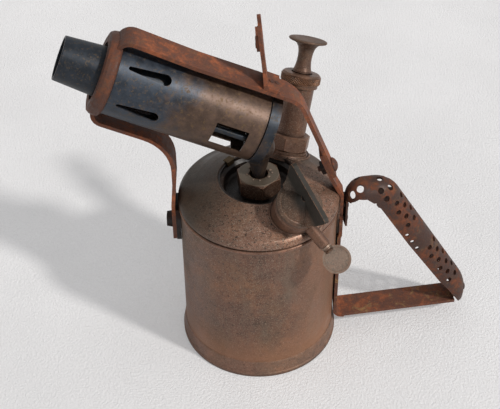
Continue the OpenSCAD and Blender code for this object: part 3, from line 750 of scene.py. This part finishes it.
@contextmanager
def edit_mode():
    """Edit mode on the active object, left again at the end of the block."""
    bpy.ops.object.mode_set(mode="EDIT")
    yield
    bpy.ops.object.mode_set(mode="OBJECT")


def pick(obj, kind, test):
    """Selects only the vertices or edges that pass the test, and sets that select mode."""
    choose(obj)
    with edit_mode():
        bpy.ops.mesh.select_mode(type=kind)
        bpy.ops.mesh.select_all(action="DESELECT")
    for item in {"VERT": obj.data.vertices, "EDGE": obj.data.edges}[kind]:
        item.select = test(item)


def cut_rings(obj, cuts):
    """Divides a cylinder's upright edges, so that it has more rings."""

    def rises(edge):
        low, high = (obj.data.vertices[i].co for i in edge.vertices)
        return abs(low.z - high.z) > 1e-6

    pick(obj, "EDGE", rises)
    with edit_mode():
        bpy.ops.mesh.subdivide(number_cuts=cuts)


def widen(obj, test, size):
    """Scales the vertices that pass the test, away from the axis or towards it."""
    pick(obj, "VERT", test)
    with edit_mode():
        bpy.ops.transform.resize(value=(size, size, 1))


def roughen(obj, depth, size):
    """Makes a mesh uneven with a cloud pattern, and keeps the result."""
    clouds = bpy.data.textures.new(obj.name + "_clouds", "CLOUDS")
    clouds.noise_scale = size
    choose(obj)
    uneven = obj.modifiers.new("uneven", "DISPLACE")
    uneven.texture = clouds
    uneven.texture_coords = "LOCAL"
    uneven.strength = depth
    uneven.mid_level = 0.5
    bpy.ops.object.modifier_apply(modifier=uneven.name)


def set_down(obj, place, name, finish, body, crease=32):
    """Puts a finished mesh in its place, names it and makes it ride; crease is in degrees."""
    obj.data.transform(place)
    obj.data.update()
    obj.name = name
    obj.data.name = name
    obj.data.materials.clear()
    obj.data.materials.append(FINISHES[finish])
    choose(obj)
    bpy.ops.object.shade_smooth_by_angle(angle=math.radians(crease))
    obj.select_set(False)
    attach(obj, body)


# ---------- operators ----------


class LAMP_OT_copper_finish(bpy.types.Operator):
    """Patina for the tank, the fittings and the fuel parts"""

    bl_idname = "lamp.copper_finish"
    bl_label = "Copper and Brass"
    bl_options = {"REGISTER", "UNDO"}

    def execute(self, context):
        lay_finishes(COPPERS, copper_finish, context.scene.lamp_colours)
        return {"FINISHED"}


class LAMP_OT_steel_finish(bpy.types.Operator):
    """Heat colours for the burner, and plain finishes for the small inner pieces"""

    bl_idname = "lamp.steel_finish"
    bl_label = "Burner and Inner Pieces"
    bl_options = {"REGISTER", "UNDO"}

    def execute(self, context):
        lay_finishes(STEELS, heat_finish, context.scene.lamp_colours)
        lay_finishes(INNERS, plain_finish, context.scene.lamp_colours)
        return {"FINISHED"}


class LAMP_OT_rust_finish(bpy.types.Operator):
    """Rust for the iron rest, the handle and their bolts"""

    bl_idname = "lamp.rust_finish"
    bl_label = "Rusty Iron"
    bl_options = {"REGISTER", "UNDO"}

    def execute(self, context):
        lay_finishes(RUSTS, rust_finish, context.scene.lamp_colours)
        return {"FINISHED"}


class LAMP_OT_cap_knurl(bpy.types.Operator):
    """Diamond knurling round the pump cap"""

    bl_idname = "lamp.cap_knurl"
    bl_label = "Pump Cap Knurling"
    bl_options = {"REGISTER", "UNDO"}

    def execute(self, context):
        sizes = context.scene.lamp_sizes
        join = math.radians(60)
        clear_selection()
        bpy.ops.mesh.primitive_cylinder_add(
            vertices=sizes.knurl_count,
            radius=sizes.knurl_radius,
            depth=KNURL_WIDTH,
            end_fill_type="NOTHING",
        )
        obj = context.object
        cut_rings(obj, sizes.knurl_rows - 1)
        with edit_mode():
            bpy.ops.mesh.select_all(action="SELECT")
            bpy.ops.mesh.poke()
            bpy.ops.mesh.tris_convert_to_quads(face_threshold=join, shape_threshold=join)
            bpy.ops.mesh.poke(offset=sizes.knurl_depth)
        place = lifted(AT_PUMP, KNURL_MIDDLE)
        set_down(obj, place, "cap_knurl", "knurl", "lamp", crease=5)
        return {"FINISHED"}


class LAMP_OT_release_thread(bpy.types.Operator):
    """The ridged collar that shows between the release barrel and its thumb disc"""

    bl_idname = "lamp.release_thread"
    bl_label = "Release Screw Thread"
    bl_options = {"REGISTER", "UNDO"}

    def execute(self, context):
        sizes = context.scene.lamp_sizes
        depth = sizes.thread_pitch * sizes.thread_ridges
        steps = sizes.thread_ridges * 2
        root = 0.84  # the groove's radius as a share of the ridge's
        clear_selection()
        bpy.ops.mesh.primitive_cylinder_add(vertices=40, radius=sizes.thread_radius, depth=depth)
        obj = context.object
        cut_rings(obj, steps - 1)
        widen(obj, lambda v: round((v.co.z + depth / 2) / depth * steps) % 2 == 0, root)
        place = lifted(AT_RELEASE, THREAD_MIDDLE)
        set_down(obj, place, "release_thread", "filler_dark", "release")
        return {"FINISHED"}


class LAMP_OT_filler_crown(bpy.types.Operator):
    """The cast crown that runs up from the filler cap's rim into its wing"""

    bl_idname = "lamp.filler_crown"
    bl_label = "Filler Crown"
    bl_options = {"REGISTER", "UNDO"}

    def execute(self, context):
        swell = (1.03, 1.0, 0.94, 0.88, 0.86)  # from the lowest ring to the highest
        clear_selection()
        bpy.ops.mesh.primitive_cone_add(
            vertices=72,
            radius1=context.scene.lamp_sizes.crown_radius,
            radius2=CROWN_TOP_RADIUS,
            depth=CROWN_HEIGHT,
            end_fill_type="NGON",
        )
        obj = context.object
        cut_rings(obj, len(swell))
        for ring, size in enumerate(swell, 1):
            height = CROWN_HEIGHT * (ring / (len(swell) + 1) - 0.5)
            widen(obj, lambda v: abs(v.co.z - height) < 0.0002, size)
        place = lifted(AT_FILLER, CROWN_MIDDLE)
        set_down(obj, place, "filler_crown", "filler_dark", "filler_cap")
        return {"FINISHED"}


class LAMP_OT_solder(bpy.types.Operator):
    """Uneven solder runs round the pump and the filler, laid on the dome"""

    bl_idname = "lamp.solder"
    bl_label = "Solder Runs"
    bl_options = {"REGISTER", "UNDO"}

    def execute(self, context):
        bead = context.scene.lamp_sizes.solder_bead
        start_height, fall = 0.008, 0.016
        for name, fitting, radius, slot in (
            ("pump_solder", AT_PUMP, PUMP_SOLDER_RADIUS, "pump_brass"),
            ("filler_solder", AT_FILLER, FILLER_SOLDER_RADIUS, "filler_neck"),
        ):
            place = lifted(fitting, start_height)
            clear_selection()
            bpy.ops.mesh.primitive_circle_add(vertices=96, radius=radius)
            obj = context.object
            obj.matrix_world = place
            context.view_layer.update()
            wrap = obj.modifiers.new("lay", "SHRINKWRAP")
            wrap.target = nodes["tank_dome"]
            wrap.wrap_method = "PROJECT"
            wrap.use_project_z = True
            wrap.use_positive_direction = False
            wrap.use_negative_direction = True
            wrap.project_limit = fall
            bpy.ops.object.modifier_apply(modifier=wrap.name)
            # what missed the dome has not fallen
            pick(obj, "VERT", lambda v: v.co.z > -0.0005)
            with edit_mode():
                bpy.ops.mesh.delete(type="VERT")
            bpy.ops.object.convert(target="CURVE")
            obj = context.object
            obj.data.bevel_depth = bead
            obj.data.bevel_resolution = 3
            obj.data.use_fill_caps = True
            bpy.ops.object.convert(target="MESH")
            obj = context.object
            roughen(obj, bead * 0.9, 0.004)
            obj.matrix_world = Matrix.Identity(4)
            set_down(obj, place, name, slot, "lamp")
        return {"FINISHED"}


class LAMP_OT_seam(bpy.types.Operator):
    """The soldered seam where the dome meets the tank's wall"""

    bl_idname = "lamp.seam"
    bl_label = "Tank Seam"
    bl_options = {"REGISTER", "UNDO"}

    def execute(self, context):
        clear_selection()
        bpy.ops.mesh.primitive_torus_add(
            major_radius=SEAM_RADIUS,
            minor_radius=context.scene.lamp_sizes.seam_bead,
            major_segments=220,
            minor_segments=10,
        )
        obj = context.object
        roughen(obj, 0.0004, 0.006)
        place = Matrix.Translation((0, 0, SEAM_HEIGHT))
        set_down(obj, place, "seam_solder", "seam", "lamp")
        return {"FINISHED"}


class LAMP_OT_solder_crumbs(bpy.types.Operator):
    """Crumbs of old solder and scale round the burner's neck in the nut"""

    bl_idname = "lamp.solder_crumbs"
    bl_label = "Solder Crumbs"
    bl_options = {"REGISTER", "UNDO"}

    def execute(self, context):
        flatten = Matrix.Diagonal((1, 1, 0.6, 1))
        crumbs = []
        for step in range(9):
            angle = step * 2.4
            size = 0.0008 + 0.0003 * math.sin(step * 1.7)
            clear_selection()
            bpy.ops.mesh.primitive_ico_sphere_add(subdivisions=2, radius=size)
            obj = context.object
            roughen(obj, size * 0.9, 0.0016)
            out = CRUMB_RADIUS + 0.0006 * math.cos(step * 2.1)
            spot = (out * math.cos(angle), out * math.sin(angle), CRUMB_HEIGHT + size * 0.3)
            obj.data.transform(Matrix.Translation(spot) @ flatten)
            crumbs.append(obj)
        clear_selection()
        for obj in crumbs:
            obj.select_set(True)
        context.view_layer.objects.active = crumbs[0]
        bpy.ops.object.join()
        set_down(context.object, Matrix.Identity(4), "solder_crumbs", "screw", "lamp")
        return {"FINISHED"}


# ---------- the stage ----------

SUN_RISE = math.radians(42)
SUN_WAY = math.radians(-32)
SUN_WIDTH = math.radians(5)
SUN_COLOUR = (1.0, 0.985, 0.96)
SKY_COLOUR = (0.96, 0.98, 1.0, 1.0)

CAMERA_PLACE = (0.0, -0.51785, 0.55513)
CAMERA_PITCH = math.radians(41.234)
CAMERA_YAW = math.radians(-0.586)
CAMERA_ROLL = math.radians(-0.548)
CAMERA_LENS = 82.08

SHEET_FADE = 0.3  # how much of the lit sheet the camera loses
SHEET_GLOW = 0.27  # how much plain light it sees instead


def direction(rise, way):
    """The unit vector at a height above the floor and a compass direction."""
    return Vector(
        (math.cos(rise) * math.cos(way), math.cos(rise) * math.sin(way), math.sin(rise))
    )


def sheet_finish(pale):
    """Pale foam sheet with a fine grain; the camera sees its shadows a little lifted."""
    f = Finish("foam_sheet")
    g = f.g
    grain = g.noise(f.place, 640, 5, 0.65)
    wide = g.noise(f.place, 9, 3, 0.5)
    base = g.mix(g.band(wide, 0.3, 0.7), lighter(pale, 0.96), lighter(pale, 1.03))
    base = g.mix(g.band(grain, 0.62, 0.36, 0.0, 0.35), base, lighter(pale, 0.9))
    f.close(base, 0.6, grain, 0.0018, 0.9)
    seen = g.add("ShaderNodeLightPath").outputs["Is Camera Ray"]
    glow = g.add("ShaderNodeEmission", {"Color": base, "Strength": SHEET_GLOW})
    faded = g.add("ShaderNodeMixShader", {0: g.times(seen, SHEET_FADE), 1: f.shader.outputs[0]})
    lift = g.add("ShaderNodeMixShader", {0: seen, 2: glow.outputs[0]})
    whole = g.add("ShaderNodeAddShader", {0: faded.outputs[0], 1: lift.outputs[0]})
    g.feed(f.out.inputs["Surface"], whole.outputs[0])
    return f.material


def lay_sheet(context, pale):
    """The plain floor."""
    clear_selection()
    bpy.ops.mesh.primitive_plane_add(size=4.0)
    floor = context.object
    floor.name = "sheet"
    floor.data.materials.append(sheet_finish(pale))


def hang_sun(context, strength):
    """The sun, low on the right and in front."""
    clear_selection()
    bpy.ops.object.light_add(type="SUN")
    sun = context.object
    sun.name = "sun"
    way = direction(SUN_RISE, SUN_WAY)
    sun.rotation_euler = way.to_track_quat("Z", "Y").to_euler()
    sun.location = way * 1.5
    sun.data.energy = strength
    sun.data.angle = SUN_WIDTH
    sun.data.color = SUN_COLOUR


def light_sky(context, strength):
    """Even light from all round."""
    world = bpy.data.worlds.new("sky")
    context.scene.world = world
    world.use_nodes = True
    sky = world.node_tree.nodes["Background"]
    sky.inputs["Color"].default_value = SKY_COLOUR
    sky.inputs["Strength"].default_value = strength


def set_camera(context):
    """The camera, in front of the lamp and looking down on it."""
    clear_selection()
    bpy.ops.object.camera_add()
    camera = context.object
    camera.name = "camera"
    ahead = direction(-CAMERA_PITCH, math.pi / 2 - CAMERA_YAW)
    right = Vector((math.cos(CAMERA_YAW), -math.sin(CAMERA_YAW), 0))
    over = right.cross(ahead)
    right, over = (
        math.cos(CAMERA_ROLL) * right + math.sin(CAMERA_ROLL) * over,
        math.cos(CAMERA_ROLL) * over - math.sin(CAMERA_ROLL) * right,
    )
    camera.rotation_euler = Matrix((right, over, -ahead)).transposed().to_euler()
    camera.location = CAMERA_PLACE
    camera.data.sensor_fit = "HORIZONTAL"
    camera.data.sensor_width = 36
    camera.data.lens = CAMERA_LENS
    camera.data.clip_start = 0.02
    context.scene.camera = camera


class LAMP_OT_stage(bpy.types.Operator):
    """The sheet, the sun, the sky and the camera"""

    bl_idname = "lamp.stage"
    bl_label = "Stage"
    bl_options = {"REGISTER", "UNDO"}

    def execute(self, context):
        stage = context.scene.lamp_stage
        lay_sheet(context, stage.sheet)
        hang_sun(context, stage.sun)
        light_sky(context, stage.fill)
        set_camera(context)
        context.scene.view_settings.view_transform = "Standard"
        return {"FINISHED"}


STEPS = (
    LAMP_OT_copper_finish,
    LAMP_OT_steel_finish,
    LAMP_OT_rust_finish,
    LAMP_OT_cap_knurl,
    LAMP_OT_release_thread,
    LAMP_OT_filler_crown,
    LAMP_OT_solder,
    LAMP_OT_seam,
    LAMP_OT_solder_crumbs,
    LAMP_OT_stage,
)


class LAMP_PT_panel(bpy.types.Panel):
    """The steps in their order, and the settings under them"""

    bl_label = "Blow Lamp"
    bl_idname = "LAMP_PT_panel"
    bl_space_type = "VIEW_3D"
    bl_region_type = "UI"
    bl_category = "Blow Lamp"

    def draw(self, context):
        scene = context.scene
        column = self.layout.column()
        for step in STEPS:
            column.operator(step.bl_idname)
        for group in (scene.lamp_sizes, scene.lamp_colours, scene.lamp_stage):
            box = self.layout.box()
            for key in group.__annotations__:
                box.prop(group, key)


CLASSES = (LampSizes, LampColours, LampStage, *STEPS, LAMP_PT_panel)


def register():
    for cls in CLASSES:
        bpy.utils.register_class(cls)
    bpy.types.Scene.lamp_sizes = PointerProperty(type=LampSizes)
    bpy.types.Scene.lamp_colours = PointerProperty(type=LampColours)
    bpy.types.Scene.lamp_stage = PointerProperty(type=LampStage)


def unregister():
    del bpy.types.Scene.lamp_stage
    del bpy.types.Scene.lamp_colours
    del bpy.types.Scene.lamp_sizes
    for cls in reversed(CLASSES):
        bpy.utils.unregister_class(cls)


def main():
    register()
    for step in STEPS:
        group, name = step.bl_idname.split(".")
        getattr(getattr(bpy.ops, group), name)()


if __name__ == "__main__":
    main()
